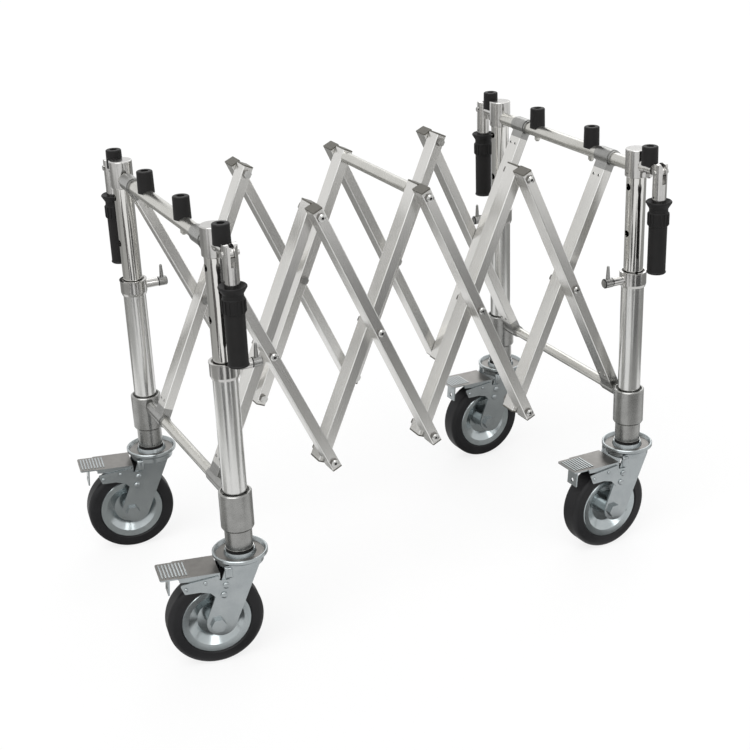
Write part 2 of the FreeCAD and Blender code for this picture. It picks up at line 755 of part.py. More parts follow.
def fork_side():
    """A fork plate: a broad round foot ahead of the axle, with straight edges up to the crown."""
    foot = Vector(fork_foot_lead - caster_trail, 0, wheel_radius + fork_foot_rise)
    lead = Vector(fork_top_lead, 0, crown_bottom)
    trail = Vector(-fork_top_trail, 0, crown_bottom)
    lead_touch = touch_point(lead, foot, fork_foot_radius, -1)
    trail_touch = touch_point(trail, foot, fork_foot_radius, 1)
    rise = up * crown_thickness
    corners = [lead_touch, lead, lead + rise, trail + rise, trail, trail_touch]
    edges = [Part.LineSegment(first, last).toShape() for first, last in zip(corners, corners[1:])]
    edges.append(Part.Arc(trail_touch, foot - up * fork_foot_radius, lead_touch).toShape())
    side = Part.Face(Part.Wire(edges)).extrude(across * fork_plate_thickness)
    side.translate(across * fork_inside)
    return side


def swivel_dish():
    """Crown and dish on the swivel axis: a flared rim, a groove and a boss under the leg's seal."""
    bore = stem_radius + running_gap
    rim = crown_thickness + dish_height
    groove = rim - dish_groove_depth
    groove_outer = dish_radius - dish_lip
    boss = seal_radius + dish_boss_margin
    boss_top = crown_thickness + dish_boss_rise
    return turned([(bore, 0), (crown_radius, 0), (crown_radius, crown_thickness),
                   (dish_radius, crown_thickness + dish_flare_rise), (dish_radius, rim - dish_edge),
                   (dish_radius - dish_edge, rim), (groove_outer + dish_edge, rim),
                   (groove_outer, rim - dish_edge), (groove_outer - dish_groove_slope, groove),
                   (boss + dish_groove_slope, groove), (boss, boss_top), (bore, boss_top)], up * crown_bottom)


def bracket_side():
    length = bracket_tip - bracket_root
    top = tyre_top + bracket_rise
    corners = []
    for along_share, down_share in bracket_shares:
        reach = bracket_root + length * along_share
        corners.append((-reach, top - bracket_depth * down_share, bracket_corner))
    side = plate(corners, bracket_inside, bracket_outside)
    way = across * (bracket_outside + cut_overrun)
    return side.cut(rod(pedal_pin_radius + running_gap, pedal_pin - way, pedal_pin + way))


def caster_fork():
    axle = Vector(-caster_trail, 0, wheel_radius)
    near = axle - across * fork_outside
    far = axle + across * fork_outside
    head = across * axle_head_height
    overrun = across * cut_overrun
    body = fused([swivel_dish()] + both_sides(fork_side()))
    body = body.cut(rod(axle_radius + seat_gap, near - overrun, far + overrun))
    bolt = fused([rod(axle_radius, near, far), hexagon(axle_head_across, far, far + head),
                  hexagon(axle_head_across, near - head, near)])
    return [body, bolt] + both_sides(bracket_side())


# Brake pedals

def brake_pedal():
    """A folded sheet between the bracket plates, with a ribbed tip and a tab over the tread."""
    slope = (pedal_tip_rise - pedal_rise) / (pedal_reach - pedal_root)
    tip_start = bracket_tip + pedal_tip_gap
    tip_half = pedal_tip_width / 2

    def under(reach):
        return tyre_top + pedal_rise + slope * (reach - pedal_root)

    def layer(start, end, low, high, half_width):
        return plate([(-start, under(start) + low), (-start, under(start) + high),
                      (-end, under(end) + high), (-end, under(end) + low)], -half_width, half_width)

    tip = layer(tip_start, pedal_reach, 0, pedal_sheet, tip_half)
    tip_edges = [edge for edge in tip.Edges
                 if edge.BoundBox.XMax < -tip_start and edge.BoundBox.YLength < pedal_sheet]
    flange = plate([(-pedal_root, under(pedal_root)),
                    (-pedal_root, under(pedal_root) - pedal_flange_drop, pedal_flange_corner),
                    (-bracket_tip, under(bracket_tip) - pedal_flange_end_drop),
                    (-bracket_tip, under(bracket_tip))], pedal_half_width - pedal_sheet, pedal_half_width)
    pin_end = across * bracket_outside
    tab_top = under(pedal_tab_reach) + pedal_sheet / 2
    tab_foot = tyre_top - pedal_tab_drop
    tab = plate([(-pedal_tab_reach, tab_top), (-pedal_tab_foot_reach, tab_foot),
                 (-pedal_tab_foot_reach - pedal_sheet, tab_foot), (-pedal_tab_reach - pedal_sheet, tab_top)],
                -pedal_tab_width / 2, pedal_tab_width / 2)
    hole = Vector(-pedal_tab_foot_reach, 0, tab_foot + pedal_tab_hole_rise)
    reach = along * (pedal_sheet + cut_overrun)
    solids = [layer(pedal_root, tip_start, 0, pedal_sheet, pedal_half_width),
              tip.makeFillet(pedal_tip_corner, tip_edges),
              rod(pedal_pin_radius, pedal_pin - pin_end, pedal_pin + pin_end),
              tab.cut(rod(pedal_tab_hole_radius, hole - reach, hole + reach))] + both_sides(flange)
    for index in range(pedal_rib_count):
        end = pedal_reach - pedal_rib_start - pedal_rib_pitch * index
        solids.append(layer(end - pedal_rib_width, end, pedal_sheet / 2, pedal_sheet + pedal_rib_height,
                            tip_half - pedal_rib_side))
    return fused(solids)


fork_solids = caster_fork()
rim_solid = wheel_rim()
tyre_solid = tyre()
pedal_solid = brake_pedal()


def write_caster_piece(node, solids, leg, turn):
    shapes = []
    for solid in solids:
        shape = solid.copy()
        shape.rotate(origin, up, turn)
        shape.translate(leg)
        shapes.append(shape)
    write(node, shapes)


# Both ends of the truck, then the four legs with what each carries
for end_name, end_x, inboard, turn in (("front", front_x, along, front_caster_turn),
                                       ("rear", rear_x, -along, rear_caster_turn)):
    end_frame(end_name, end_x, inboard)
    carriage(end_name, end_x)
    for side_name, side in (("left", -1), ("right", 1)):
        name = end_name + "_" + side_name + "_"
        leg = Vector(end_x, side * leg_y, 0)
        pin = Vector(end_x, side * (leg_y + handle_offset), top_height + arm_rise)
        clamp_axis = leg + up * clamp_height
        clamp_end = clamp_axis + inboard * (boss_reach + cut_overrun)
        clamp_way = rod(clamp_screw_radius + running_gap, clamp_axis, clamp_end)
        write(name + "lower_tube", lower_leg(leg, clamp_way))
        write(name + "clamp_ring", [clamp_ring(leg, inboard, clamp_way)])
        write(name + "clamp_lever", [clamp_lever(leg, inboard)])
        write(name + "handle", lift_handle(pin))
        write(name + "grip", [grip(pin)])
        write_caster_piece(name + "caster_fork", fork_solids, leg, turn)
        write_caster_piece(name + "wheel_rim", [rim_solid], leg, turn)
        write_caster_piece(name + "tyre", [tyre_solid], leg, turn)
        write_caster_piece(name + "brake_pedal", [pedal_solid], leg, turn)
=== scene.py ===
import bpy
import json
import math
from mathutils import Matrix, Vector


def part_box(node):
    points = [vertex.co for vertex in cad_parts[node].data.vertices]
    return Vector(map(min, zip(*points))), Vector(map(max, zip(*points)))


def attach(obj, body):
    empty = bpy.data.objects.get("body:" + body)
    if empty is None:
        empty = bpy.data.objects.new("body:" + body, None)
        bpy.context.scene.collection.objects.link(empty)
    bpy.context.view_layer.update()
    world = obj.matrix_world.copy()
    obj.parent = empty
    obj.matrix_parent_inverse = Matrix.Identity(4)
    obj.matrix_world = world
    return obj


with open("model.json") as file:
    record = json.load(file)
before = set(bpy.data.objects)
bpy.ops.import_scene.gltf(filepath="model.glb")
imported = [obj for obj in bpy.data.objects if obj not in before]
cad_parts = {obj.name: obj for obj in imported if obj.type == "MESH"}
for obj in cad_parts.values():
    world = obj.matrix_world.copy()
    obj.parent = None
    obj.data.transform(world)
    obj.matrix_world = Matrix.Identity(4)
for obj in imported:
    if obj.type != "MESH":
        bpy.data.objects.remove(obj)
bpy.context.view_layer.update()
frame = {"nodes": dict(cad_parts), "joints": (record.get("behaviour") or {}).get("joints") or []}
nodes = frame["nodes"]
joints = {joint["name"]: joint for joint in frame["joints"]}
ends = ("front", "rear")
corners = [end + "_" + side for end in ends for side in ("left", "right")]
barNumbers = (1, 2, 3, 4)
firstBar, lastBar = barNumbers[0], barNumbers[-1]
bothWays = (-1, 1)
print("frame loaded:", len(nodes), "nodes")


# Small helpers

def linear(hexColour):
    # the standard sRGB curve
    channels = [int(hexColour[i:i + 2], 16) / 255 for i in (0, 2, 4)]
    return [c / 12.92 if c <= 0.04045 else ((c + 0.055) / 1.055) ** 2.4 for c in channels] + [1.0]


def addNode(tree, kind, settings=None, links=None):
    node = tree.nodes.new(kind)
    for key, value in (settings or {}).items():
        if isinstance(key, int) or key in node.inputs:
            node.inputs[key].default_value = value
        else:
            setattr(node, key, value)
    for key, source in (links or {}).items():
        tree.links.new(source, node.inputs[key])
    return node


def startMaterial(name, look):
    material = bpy.data.materials.new(name)
    material.use_nodes = True
    tree = material.node_tree
    shader = tree.nodes["Principled BSDF"]
    shader.inputs["Base Color"].default_value = linear(look["colour"])
    shader.inputs["Metallic"].default_value = look["metallic"]
    shader.inputs["Roughness"].default_value = look["roughness"]
    if "gloss" in look:
        shader.inputs["Specular IOR Level"].default_value = look["gloss"]
    return material, tree, shader


mmPerMetre = 1000


def perMetre(millimetres):
    return mmPerMetre / millimetres


def jointPlace(name):
    return Vector(joints[name]["pos_m"])


def deselect():
    bpy.ops.object.select_all(action="DESELECT")


# Materials. Each look's lineWidth, lineLength, grain, cloud and depth are in millimetres.

noiseDetail = {"line": 3, "barCloud": 2, "grain": 4, "cloud": 3}


def wireFinish(tree, shader, look, grain, tintShare):
    # the colour follows one pattern, and the roughness and the bump follow a finer one
    # in a mix of colours, inputs 6 and 7 are the colours and output 2 is the mix
    tint = addNode(tree, "ShaderNodeMix",
                   {"data_type": "RGBA", 6: linear(look["colour"]), 7: linear(look["dark"])},
                   {"Factor": tintShare})
    tree.links.new(tint.outputs[2], shader.inputs["Base Color"])
    rough = addNode(tree, "ShaderNodeMapRange",
                    {"To Min": look["roughness"] - look["spread"], "To Max": look["roughness"] + look["spread"]},
                    {"Value": grain})
    tree.links.new(rough.outputs["Result"], shader.inputs["Roughness"])
    bump = addNode(tree, "ShaderNodeBump", {"Strength": look["bump"], "Distance": look["depth"] / mmPerMetre},
                   {"Height": grain})
    tree.links.new(bump.outputs["Normal"], shader.inputs["Normal"])


# Bars: extruded aluminium tube, satin anodised, with fine drawing lines along its length.
# The eye sees a pale neutral grey with soft reflections.
barLook = {"colour": "D7D6D3", "dark": "C6C5C2", "metallic": 0.95, "roughness": 0.26, "spread": 0.03,
           "lineWidth": 1.6, "lineLength": 120.0, "cloud": 60.0, "bump": 0.02, "depth": 0.2}


def barAluminium(name, slope):
    material, tree, shader = startMaterial(name, barLook)
    coords = addNode(tree, "ShaderNodeTexCoord").outputs["Object"]
    lie = addNode(tree, "ShaderNodeMapping", {"Rotation": (0, slope, 0)}, {"Vector": coords})
    # lines are drawn coarser than the real 0.2 mm so that they show
    squeeze = addNode(tree, "ShaderNodeMapping", {"Scale": (barLook["lineWidth"] / barLook["lineLength"], 1, 1)},
                      {"Vector": lie.outputs["Vector"]})
    lines = addNode(tree, "ShaderNodeTexNoise",
                    {"Scale": perMetre(barLook["lineWidth"]), "Detail": noiseDetail["line"]},
                    {"Vector": squeeze.outputs["Vector"]})
    clouds = addNode(tree, "ShaderNodeTexNoise",
                     {"Scale": perMetre(barLook["cloud"]), "Detail": noiseDetail["barCloud"]}, {"Vector": coords})
    blend = addNode(tree, "ShaderNodeMath", {"operation": "MULTIPLY"},
                    {0: clouds.outputs["Fac"], 1: lines.outputs["Fac"]})
    wireFinish(tree, shader, barLook, lines.outputs["Fac"], blend.outputs[0])
    return material


# Plain finishes, each with a little unevenness at a real size

def unevenFinish(name, look):
    material, tree, shader = startMaterial(name, look)
    coords = addNode(tree, "ShaderNodeTexCoord").outputs["Object"]
    grain = addNode(tree, "ShaderNodeTexNoise", {"Scale": perMetre(look["grain"]), "Detail": noiseDetail["grain"]},
                    {"Vector": coords})
    clouds = addNode(tree, "ShaderNodeTexNoise", {"Scale": perMetre(look["cloud"]), "Detail": noiseDetail["cloud"]},
                     {"Vector": coords})
    wireFinish(tree, shader, look, grain.outputs["Fac"], clouds.outputs["Fac"])
    return material


# Corners of the bars: a painted highlight, a polished nearly white finish that makes the edges read bright
barCornerHighlightLook = {"colour": "F4F4F2", "dark": "DEDEDC", "metallic": 1.0, "roughness": 0.2, "spread": 0.05,
            "grain": 2.0, "cloud": 35.0, "bump": 0.02, "depth": 0.05}
# Chrome plate on drawn tube: mirror bright, neutral
chromeLook = {"colour": "DEDDDA", "dark": "D2D1CE", "metallic": 1.0, "roughness": 0.08, "spread": 0.02,
              "grain": 3.0, "cloud": 120.0, "bump": 0.02, "depth": 0.05}
# Brushed steel of the cross tubes: blurred reflections, a little warm
crossLook = {"colour": "CDCCC7", "dark": "BAB9B4", "metallic": 0.95, "roughness": 0.27, "spread": 0.06,
             "grain": 1.5, "cloud": 40.0, "bump": 0.05, "depth": 0.08}
# Polished steel of the lower legs: pale, soft streaks
legLook = {"colour": "D8D8D6", "dark": "C9C9C7", "metallic": 0.97, "roughness": 0.2, "spread": 0.05,
           "grain": 1.5, "cloud": 60.0, "bump": 0.04, "depth": 0.06}
# Turned steel of the slide collars, end sleeves and levers: dull mid grey
collarLook = {"colour": "A3A3A1", "dark": "878785", "metallic": 0.95, "roughness": 0.27, "spread": 0.08,
              "grain": 1.2, "cloud": 14.0, "bump": 0.08, "depth": 0.1}
# Chromed castings: bright, very slightly rippled
castLook = {"colour": "CCCBC9", "dark": "B5B4B2", "metallic": 1.0, "roughness": 0.15, "spread": 0.05,
            "grain": 5.0, "cloud": 25.0, "bump": 0.07, "depth": 0.2}
# Clear zinc plate on pressed steel: satin, faintly cool grey, clouded
zincLook = {"colour": "ADB2B3", "dark": "959B9D", "metallic": 0.92, "roughness": 0.25, "spread": 0.03,
            "grain": 2.5, "cloud": 22.0, "bump": 0.02, "depth": 0.1}
# The same plate on the spun rims, brighter and smoother
rimLook = {"colour": "B9BFC0", "dark": "9CA4A6", "metallic": 0.95, "roughness": 0.19, "spread": 0.03,
           "grain": 2.5, "cloud": 26.0, "bump": 0.015, "depth": 0.1}
# The same plate, darker and dull: worn on the pedals' treads, and painted shade in the dishes' grooves and on the
# sides of the pivot bolts
wornAndShadedLook = {"colour": "82807D", "dark": "6B6966", "metallic": 0.9, "roughness": 0.36, "spread": 0.1,
            "grain": 1.4, "cloud": 12.0, "bump": 0.12, "depth": 0.15}
# Bright zinc on bolts and screws
boltLook = {"colour": "D2D2D0", "dark": "ADADAA", "metallic": 1.0, "roughness": 0.18, "spread": 0.06,
            "grain": 1.0, "cloud": 6.0, "bump": 0.05, "depth": 0.1}
# Moulded black rubber: matt with a fine bloom. The same black is also painted shade in the recesses of rivets and bolt
# sockets and on the lever hubs' chamfers
rubberLook = {"colour": "151515", "dark": "1F1E1E", "metallic": 0.0, "roughness": 0.55, "spread": 0.08,
              "grain": 0.9, "cloud": 18.0, "bump": 0.12, "depth": 0.15, "gloss": 0.22}
# Solid black tyre rubber: a little smoother
tyreLook = {"colour": "161617", "dark": "202022", "metallic": 0.0, "roughness": 0.5, "spread": 0.08,
            "grain": 1.2, "cloud": 30.0, "bump": 0.12, "depth": 0.15, "gloss": 0.25}
# Moulded grey plastic of the bars' end caps
capLook = {"colour": "626059", "dark": "53514B", "metallic": 0.0, "roughness": 0.45, "spread": 0.08,
           "grain": 0.8, "cloud": 15.0, "bump": 0.1, "depth": 0.1, "gloss": 0.35}

pivotTop = jointPlace("fold")
pivotCrossing = jointPlace("crossing_1")
spacing = 2 * (pivotCrossing.x - pivotTop.x)
bottomHeight = 2 * pivotCrossing.z - pivotTop.z
barSlope = math.atan2(pivotTop.z - pivotCrossing.z, pivotCrossing.x - pivotTop.x)
finish = {
    "falling": barAluminium("satin_anodised_bar_falling", -barSlope),
    "rising": barAluminium("satin_anodised_bar_rising", barSlope),
    "edge": unevenFinish("painted_highlight_bar_corner", barCornerHighlightLook),
    "chrome": unevenFinish("polished_chrome_tube", chromeLook),
    "cross": unevenFinish("brushed_steel_cross_tube", crossLook),
    "leg": unevenFinish("polished_steel_leg", legLook),
    "collar": unevenFinish("turned_steel_collar", collarLook),
    "cast": unevenFinish("chromed_casting", castLook),
    "zinc": unevenFinish("clear_zinc_steel", zincLook),
    "rim": unevenFinish("bright_zinc_rim", rimLook),
    "wornAndShaded": unevenFinish("worn_and_shaded_zinc_steel", wornAndShadedLook),
    "bolt": unevenFinish("bright_zinc_bolt", boltLook),
    "rubber": unevenFinish("black_rubber_and_painted_shade", rubberLook),
    "tyre": unevenFinish("tyre_rubber", tyreLook),
    "cap": unevenFinish("grey_cap_plastic", capLook),
}
print("materials made:", len(finish))


# Finishes of the CAD nodes, with others for chosen faces of a node. A later choice wins.

def dress(node, main, picks=()):
    thing = nodes[node]
    thing.data.materials.clear()
    thing.data.materials.append(finish[main])
    for index, (name, chosen) in enumerate(picks, start=1):
        thing.data.materials.append(finish[name])
        for polygon in thing.data.polygons:
            if chosen(polygon):
                polygon.material_index = index


# Bars: from pivot to pivot, then past the pivot to the end, of which the last bit is a cap.
# The sleeves of the end bars start at a neck.
barEnds = {"length": 0.46706, "end": 0.014, "cap": 0.0025, "neck": 0.024, "slack": 0.0001,
           "cornerLow": 0.15, "cornerHigh": 0.985, "boltSide": 0.6}


def barLine(row, number):
    # first pivot of a bar, and the way it runs from there
    slope = -barSlope if row == "outer" else barSlope
    height = pivotTop.z if row == "outer" else bottomHeight
    first = Vector((pivotTop.x + spacing * (number - 1), 0, height))
    return first, Vector((math.cos(slope), 0, math.sin(slope)))


# corner faces of a bar, which take the painted highlight
def onCorner(polygon):
    return barEnds["cornerLow"] < abs(polygon.normal.y) < barEnds["cornerHigh"]


def onBoltSide(polygon):
    return abs(polygon.normal.y) < barEnds["boltSide"]


for number in barNumbers:
    for row, way in (("outer", "falling"), ("inner", "rising")):
        first, direction = barLine(row, number)
        capStart = barEnds["cap"] - barEnds["end"]
        low = barEnds["neck"] if number == firstBar else capStart
        high = barEnds["length"] - (barEnds["neck"] if number == lastBar else capStart)

        def beforeBar(polygon):
            return (polygon.center - first).dot(direction) < low - barEnds["slack"]

        def afterBar(polygon):
            return (polygon.center - first).dot(direction) > high + barEnds["slack"]

        dress(row + "_bars_" + str(number), way,
              (("edge", onCorner),
               ("collar" if number == firstBar else "cap", beforeBar),
               ("collar" if number == lastBar else "cap", afterBar)))
    # painted shade: the sides of the pivot bolts take the darker finish, so that dark rings show round the bright
    # heads
    dress("pivot_bolts_" + str(number), "bolt", (("wornAndShaded", onBoltSide),))
dress("middle_cross_tube", "cross")

# Ends and legs: heights are above the top of the caster's fork, the others reaches from the leg's axis
legFit = {"sealTop": 0.0053, "ferruleTop": 0.0445, "tube": 0.0206, "collar": 0.0275}
for end in ends:
    legReach = abs(jointPlace(end + "_left_swivel").y)

    def betweenCollars(polygon):
        return abs(polygon.center.y) < legReach - legFit["collar"]

    dress(end + "_top_tube", "cross")
    dress(end + "_leg_heads", "cast")
    dress(end + "_upper_tubes", "chrome")
    dress(end + "_bumpers", "rubber")
    dress(end + "_carriage", "collar", (("cross", betweenCollars),))

# Groove in the top of a swivel dish, the top of a pedal's plate, and the chamfers of a lever's hub, which are painted
# black as the shade of the gap round the hub
dishFit = {"groove": 0.0065, "slack": 0.0002}
pedalFit = {"root": 0.041, "rootTop": 0.1749, "slope": 0.0417, "topNormal": 0.6}
hubFit = {"radius": 0.0088, "edgeLow": 0.5, "edgeHigh": 0.9}
for corner in corners:
    axis = jointPlace(corner + "_swivel")
    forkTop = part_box(corner + "_caster_fork")[1].z
    leverHeight = jointPlace(corner + "_lever_turn").z

    def outFrom(polygon):
        return math.hypot(polygon.center.x - axis.x, polygon.center.y - axis.y)

    def onFerrule(polygon):
        return polygon.center.z < forkTop + legFit["ferruleTop"] and outFrom(polygon) > legFit["tube"]

    def onSeal(polygon):
        return polygon.center.z < forkTop + legFit["sealTop"]

    def offPedalTop(polygon):
        plateTop = pedalFit["rootTop"] + pedalFit["slope"] * (outFrom(polygon) - pedalFit["root"])
        return polygon.normal.z < pedalFit["topNormal"] or polygon.center.z > plateTop

    # painted shade on the floor of the groove
    def inGroove(polygon):
        return abs(polygon.center.z - (forkTop - dishFit["groove"])) < dishFit["slack"]

    # painted shade: the hub's chamfers take the black finish
    def onHubEdge(polygon):
        return (abs(polygon.center.z - leverHeight) < hubFit["radius"]
                and hubFit["edgeLow"] < abs(polygon.normal.x) < hubFit["edgeHigh"])

    dress(corner + "_lower_tube", "leg", (("collar", onFerrule), ("rubber", onSeal)))
    dress(corner + "_clamp_ring", "cast")
    dress(corner + "_clamp_lever", "collar", (("rubber", onHubEdge),))
    dress(corner + "_handle", "cast")
    dress(corner + "_grip", "rubber")
    dress(corner + "_caster_fork", "zinc", (("wornAndShaded", inGroove),))
    dress(corner + "_wheel_rim", "rim")
    dress(corner + "_tyre", "tyre")
    dress(corner + "_brake_pedal", "wornAndShaded", (("zinc", offPedalTop),))
print("nodes dressed")


# Small fasteners and pressings: each is modelled once, facing +Z, and copied to its places on a body

modelling = {"upNormal": 0.9, "smoothAngle": 40}


def pickFaces(thing, wanted):
    bpy.ops.object.mode_set(mode="OBJECT")
    for element in list(thing.data.vertices) + list(thing.data.edges):
        element.select = False
    for polygon in thing.data.polygons:
        polygon.select = wanted(polygon)
    bpy.ops.object.mode_set(mode="EDIT")
    bpy.ops.mesh.select_mode(type="FACE")


def facesUp(polygon):
    return polygon.normal.z > modelling["upNormal"]


def startRound(name, sideCount, radius, height):
    deselect()
    bpy.ops.mesh.primitive_cylinder_add(vertices=sideCount, radius=radius, depth=height, location=(0, 0, 0))
    thing = bpy.context.object
    thing.name = name
    pickFaces(thing, facesUp)
    return thing


def startBlock(name, size):
    deselect()
    bpy.ops.mesh.primitive_cube_add(size=1)
    thing = bpy.context.object
    thing.name = name
    thing.scale = size
    bpy.ops.object.transform_apply(location=False, rotation=False, scale=True)
    pickFaces(thing, facesUp)
    return thing


def crownTop(width, height, steps):
    # each step goes in by a share of the width and up by a share of the height
    for inset, rise in steps:
        bpy.ops.mesh.inset(thickness=width * inset, depth=height * rise)


def smoothModel(thing, names):
    bpy.ops.object.mode_set(mode="OBJECT")
    for name in names:
        thing.data.materials.append(finish[name])
    bpy.ops.object.shade_smooth_by_angle(angle=math.radians(modelling["smoothAngle"]))
    return thing


def holedHead(name, look):
    # a low rim round a recess painted black as its shade: a blind rivet's flange, or a hexagon socket in a bolt head
    head = startRound(name, look["sideCount"], look["radius"], look["height"])
    crownTop(look["radius"], look["height"], look["steps"])
    bpy.ops.mesh.extrude_region_move(TRANSFORM_OT_translate={"value": (0, 0, -look["height"] * look["recess"])})
    bpy.ops.object.mode_set(mode="OBJECT")
    recess = [polygon.index for polygon in head.data.polygons if polygon.select]
    smoothModel(head, ("bolt", "rubber"))
    # painted shade: the recess takes the black finish
    for index in recess:
        head.data.polygons[index].material_index = 1
    return head


def placeCopies(model, name, body, places):
    copies = []
    for spot, outwards in places:
        deselect()
        model.select_set(True)
        bpy.context.view_layer.objects.active = model
        bpy.ops.object.duplicate()
        copy = bpy.context.object
        copy.rotation_mode = "QUATERNION"
        copy.rotation_quaternion = outwards.to_track_quat("Z", "Y")
        copy.location = spot
        copies.append(copy)
    deselect()
    for copy in copies:
        copy.select_set(True)
    bpy.context.view_layer.objects.active = copies[0]
    bpy.ops.object.join()
    bpy.ops.object.transform_apply(location=True, rotation=True, scale=True)
    piece = bpy.context.object
    piece.name = name
    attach(piece, body)


def discard(model):
    bpy.data.objects.remove(model, do_unlink=True)


# Blind rivets that hold the end sleeves in the bars, two on each wide face
sleeveRivet = {"radius": 0.0026, "height": 0.0011, "sideCount": 20, "steps": ((0.12, 0.25), (0.14, 0)),
               "recess": 0.6, "fromPivot": 0.036, "across": 0.0075, "face": 0.009, "halfBar": 0.0165}
rivet = holedHead("sleeve_rivet_model", sleeveRivet)
for row in ("outer", "inner"):
    layer = abs(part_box(row + "_bars_2")[0].y) - sleeveRivet["halfBar"]
    for number in (firstBar, lastBar):
        first, direction = barLine(row, number)
        fromPivot = sleeveRivet["fromPivot"]
        along = fromPivot if number == firstBar else barEnds["length"] - fromPivot
        normal = Vector((-direction.z, 0, direction.x))
        places = []
        for side in bothWays:
            for step in bothWays:
                for face in bothWays:
                    spot = first + direction * along + normal * face * sleeveRivet["face"]
                    spot.y = side * layer + step * sleeveRivet["across"]
                    places.append((spot, normal * face))
        placeCopies(rivet, "sleeve_rivets_" + row + "_" + str(number), row + "_bar_" + str(number),
                    places)
discard(rivet)

# Hexagon sockets in the heads of the pivot bolts. Each outer bar carries the bolts at its crossing, top and bottom.
boltSocket = {"radius": 0.0033, "height": 0.0009, "sideCount": 6, "steps": ((0.12, 0.25), (0.1, 0)), "recess": 0.6}
socket = holedHead("bolt_socket_model", boltSocket)
for number in barNumbers:
    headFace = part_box("pivot_bolts_" + str(number))[1].y
    spots = [jointPlace("crossing_" + str(number))]
    if number > firstBar:
        spots.append(jointPlace("top_pivot_" + str(number - 1)))
    if number < lastBar:
        spots.append(Vector((pivotTop.x + spacing * number, 0, bottomHeight)))
    places = [(Vector((spot.x, side * headFace, spot.z)), Vector((0, side, 0))) for spot in spots for side in bothWays]
    placeCopies(socket, "bolt_sockets_" + str(number), "outer_bar_" + str(number), places)
discard(socket)

# Moulded flutes round the upper part of each grip
gripRib = {"width": 0.0022, "length": 0.0195, "height": 0.0016, "steps": ((0.3, 0.15),),
           "count": 16, "out": 0.0176, "belowPin": 0.0802}
flute = startBlock("grip_flute_model", (gripRib["width"], gripRib["length"], gripRib["height"]))
crownTop(gripRib["width"], gripRib["height"], gripRib["steps"])
smoothModel(flute, ("rubber",))
for corner in corners:
    middle = jointPlace(corner + "_handle_swing") - Vector((0, 0, gripRib["belowPin"]))
    places = []
    for step in range(gripRib["count"]):
        turn = math.tau * step / gripRib["count"]
        outwards = Vector((math.cos(turn), math.sin(turn), 0))
        places.append((middle + outwards * gripRib["out"], outwards))
    placeCopies(flute, corner + "_grip_flutes", corner + "_handle", places)
discard(flute)

# Caster fasteners and pressings. Each place is a reach back from the swivel axis and a height above the floor,
# and face is how far out the piece sits from the middle of the fork.
dome = {"sideCount": 24, "steps": ((0.12, 0.22), (0.2, 0.16), (0.28, 0.1), (0.2, 0.03))}
forkRivet = {"radius": 0.0054, "height": 0.0034, "places": ((0.033, 0.1515), (0.0378, 0.1345)), "face": 0.0325}
bracketPin = {"radius": 0.0032, "height": 0.0026, "places": ((0.066, 0.162), (0.098, 0.157)), "face": 0.0325}
gusset = {"width": 0.0125, "length": 0.02, "proud": 0.0032, "steps": ((0.18, 0.35), (0.14, 0.12)),
          "rounding": 0.1, "segments": 3, "places": ((0.0265, 0.172),), "face": 0.03}


def domedHead(name, look):
    head = startRound(name, dome["sideCount"], look["radius"], look["height"])
    crownTop(look["radius"], look["height"], dome["steps"])
    return smoothModel(head, ("zinc",))


def pressedGusset(name):
    thing = startBlock(name, (gusset["width"], gusset["length"], gusset["proud"]))
    crownTop(gusset["width"], gusset["proud"], gusset["steps"])
    bpy.ops.object.mode_set(mode="OBJECT")
    rounding = thing.modifiers.new("rounding", "BEVEL")
    rounding.width = gusset["width"] * gusset["rounding"]
    rounding.segments = gusset["segments"]
    bpy.ops.object.modifier_apply(modifier=rounding.name)
    return smoothModel(thing, ("zinc",))


casterPieces = (("_fork_rivets", forkRivet, domedHead("fork_rivet_model", forkRivet)),
                ("_bracket_pins", bracketPin, domedHead("bracket_pin_model", bracketPin)),
                ("_fork_gussets", gusset, pressedGusset("gusset_model")))
for corner in corners:
    axis = jointPlace(corner + "_swivel")
    trail = jointPlace(corner + "_wheel_spin") - axis
    trail.z = 0
    trail.normalize()
    axle = Vector(joints[corner + "_wheel_spin"]["axis"])
    for ending, look, model in casterPieces:
        places = []
        for side in bothWays:
            for reach, height in look["places"]:
                spot = axis + trail * reach + axle * side * look["face"]
                spot.z = height
                places.append((spot, axle * side))
        placeCopies(model, corner + ending, corner + "_caster", places)
for ending, look, model in casterPieces:
    discard(model)
print("fasteners placed")


# Stage: floor, light and camera

stageLook = {"floorSize": 60.0, "floor": "FFFFFF", "floorRoughness": 0.9, "floorGlow": 0.8, "fill": 0.55,
             "backdrop": 1.0, "cardRoughness": 0.8, "cardHeight": 0.004}


def seenDirectly(tree):
    # 1 for camera, glossy and transmission rays, so that metal shows the same pale studio
    path = addNode(tree, "ShaderNodeLightPath")
    first = addNode(tree, "ShaderNodeMath", {"operation": "MAXIMUM"},
                    {0: path.outputs["Is Camera Ray"], 1: path.outputs["Is Glossy Ray"]})
    return addNode(tree, "ShaderNodeMath", {"operation": "MAXIMUM"},
                   {0: first.outputs[0], 1: path.outputs["Is Transmission Ray"]}).outputs[0]


deselect()
bpy.ops.mesh.primitive_plane_add(size=stageLook["floorSize"], location=(0, 0, 0))
floor = bpy.context.object
floor.name = "studio_floor"
floorPaint, tree, shader = startMaterial("pale_floor", {"colour": stageLook["floor"], "metallic": 0.0,
                                                        "roughness": stageLook["floorRoughness"]})
glow = addNode(tree, "ShaderNodeEmission", {"Color": linear(stageLook["floor"]), "Strength": 1.0})
share = addNode(tree, "ShaderNodeMath", {"operation": "MULTIPLY", 1: stageLook["floorGlow"]},
                {0: seenDirectly(tree)})
paleMix = addNode(tree, "ShaderNodeMixShader", {}, {0: share.outputs[0], 1: shader.outputs[0],
                                                    2: glow.outputs[0]})
tree.links.new(paleMix.outputs[0], tree.nodes["Material Output"].inputs["Surface"])
floor.data.materials.append(floorPaint)

